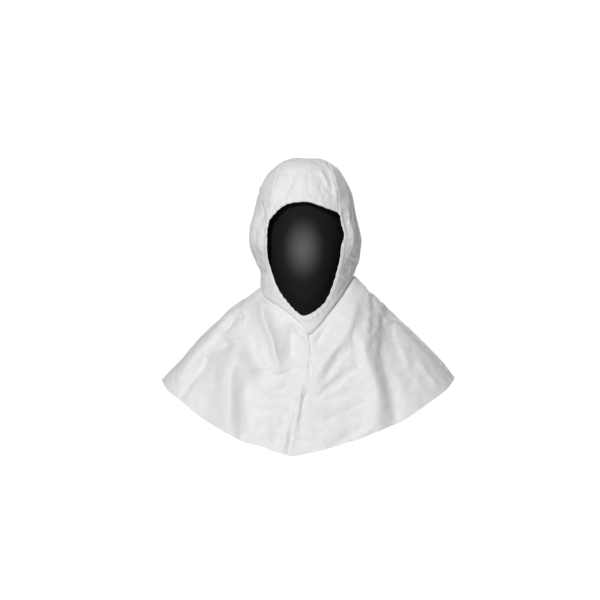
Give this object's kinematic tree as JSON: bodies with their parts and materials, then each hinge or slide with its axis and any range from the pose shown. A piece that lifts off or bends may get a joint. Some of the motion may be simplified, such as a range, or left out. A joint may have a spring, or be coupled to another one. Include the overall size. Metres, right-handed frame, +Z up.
{
  "type": "disposable protective hood with shoulder cape",
  "caption": "White nonwoven pull-over hood with an elasticated face opening and a shoulder cape, worn to protect head, neck and shoulders.",
  "frame": {"origin": "middle of the wearer's head, at the height of the ears and midway between them", "axes": "+Z up, the face opening looks along -Y, +X is the right of the hood as seen from the front"},
  "size_m": [0.5326, 0.2864, 0.5274],
  "materials": {
    "nonwoven": "matt white film-coated polyethylene nonwoven, finely crinkled",
    "elastic": "white braided flat elastic",
    "thread": "white spun polyester sewing thread",
    "serging": "fabric edges bound together with white overlock thread",
    "label": "blank white satin ribbon"
  },
  "bodies": {
    "root": {"crown_panel": "nonwoven", "hood_side_left": "nonwoven", "hood_side_right": "nonwoven", "cape_left": "nonwoven", "cape_right": "nonwoven", "face_casing": "nonwoven", "face_elastic": "elastic", "casing_stitching": "thread", "neck_seam": "serging", "crown_seam_left": "serging", "crown_seam_right": "serging", "chin_seam": "serging", "cape_front_seam": "serging", "cape_back_seam": "serging", "care_label": "label"}
  },
  "joints": []
}
